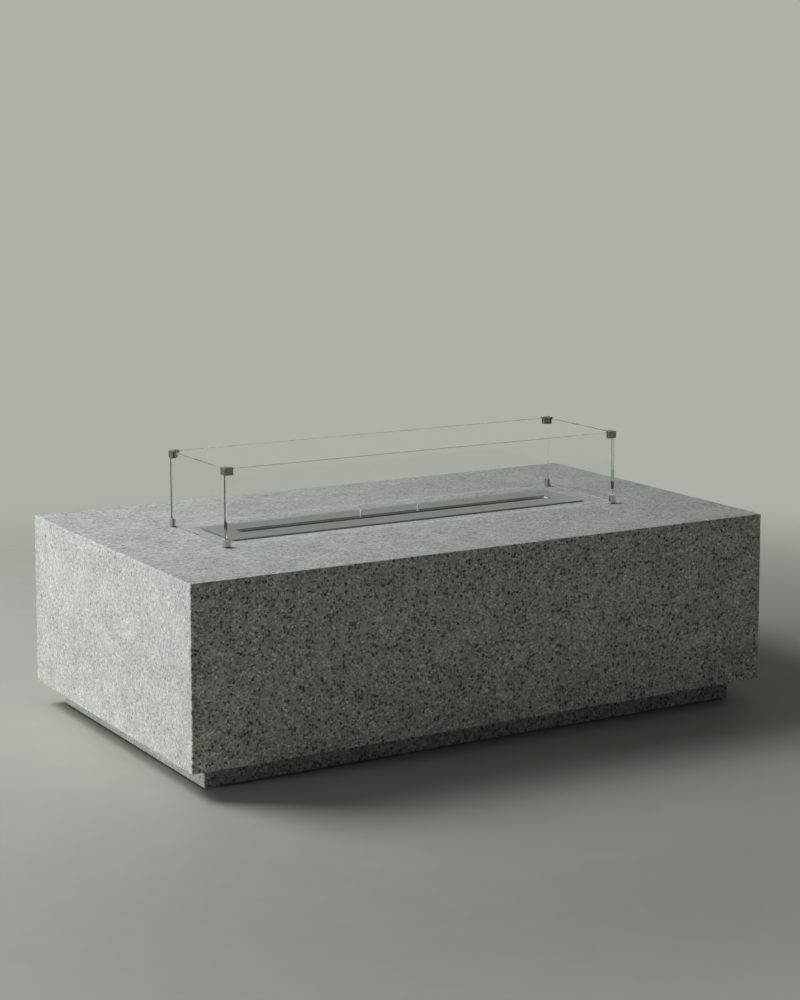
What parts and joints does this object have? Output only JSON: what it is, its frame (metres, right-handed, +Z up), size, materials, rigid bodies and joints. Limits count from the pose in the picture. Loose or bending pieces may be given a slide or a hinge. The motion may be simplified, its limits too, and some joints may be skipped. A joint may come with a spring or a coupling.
{
  "type": "concrete fire pit",
  "caption": "Long concrete block on a set-back plinth with a lift-out slot burner, a sliding snuffer shutter and a frameless glass wind guard held by steel corner clips.",
  "frame": {"origin": "on the floor, under the middle of the block", "axes": "+X along the block's length, +Z up, -Y out of the long side that faces the viewer's right"},
  "size_m": [1.38, 0.795, 0.585],
  "materials": {
    "block_concrete": "matte",
    "plinth_concrete": "matte",
    "burner_steel": "satin",
    "shutter_steel": "satin",
    "clip_steel": "satin",
    "zinc_steel": "satin",
    "guard_glass": "polished",
    "rubber": "matte",
    "silicone": "satin",
    "ceramic_fibre": "matte"
  },
  "bodies": {
    "base": {"concrete_body": "block_concrete", "concrete_plinth": "plinth_concrete", "plinth_bolts": "zinc_steel", "plinth_washers": "zinc_steel", "bolt_inserts": "zinc_steel", "floor_pads": "rubber", "cutout_angle_front": "zinc_steel", "cutout_angle_back": "zinc_steel", "angle_screws": "zinc_steel", "angle_inserts": "zinc_steel"},
    "burner": {"burner_plate": "burner_steel", "burner_gasket": "rubber", "burner_casing": "burner_steel", "fuel_tank": "burner_steel", "tank_bearers": "burner_steel", "ceramic_wool_1": "ceramic_fibre", "ceramic_wool_2": "ceramic_fibre", "ceramic_wool_3": "ceramic_fibre", "wool_retainer": "burner_steel", "shutter_rail_front": "burner_steel", "shutter_rail_rear": "burner_steel"},
    "shutter": {"shutter_plate": "shutter_steel", "shutter_peg_left": "shutter_steel", "shutter_peg_right": "shutter_steel"},
    "glass_guard": {"glass_pane_front": "guard_glass", "glass_pane_back": "guard_glass", "glass_pane_left": "guard_glass", "glass_pane_right": "guard_glass", "top_clip_front_left": "clip_steel", "top_clip_front_right": "clip_steel", "top_clip_back_left": "clip_steel", "top_clip_back_right": "clip_steel", "foot_clip_front_left": "clip_steel", "foot_clip_front_right": "clip_steel", "foot_clip_back_left": "clip_steel", "foot_clip_back_right": "clip_steel", "clip_liners": "silicone", "clip_grub_screws": "clip_steel", "guard_feet": "rubber"}
  },
  "joints": [
    {"name": "guard_lift", "type": "slide", "parent": "base", "child": "glass_guard", "axis": [0, 0, 1], "range_m": [0, 0.25]},
    {"name": "burner_lift", "type": "slide", "parent": "base", "child": "burner", "axis": [0, 0, 1], "range_m": [0, 0.15]},
    {"name": "shutter_slide", "type": "slide", "parent": "burner", "child": "shutter", "axis": [0, -1, 0], "range_m": [0, 0.0274]}
  ]
}
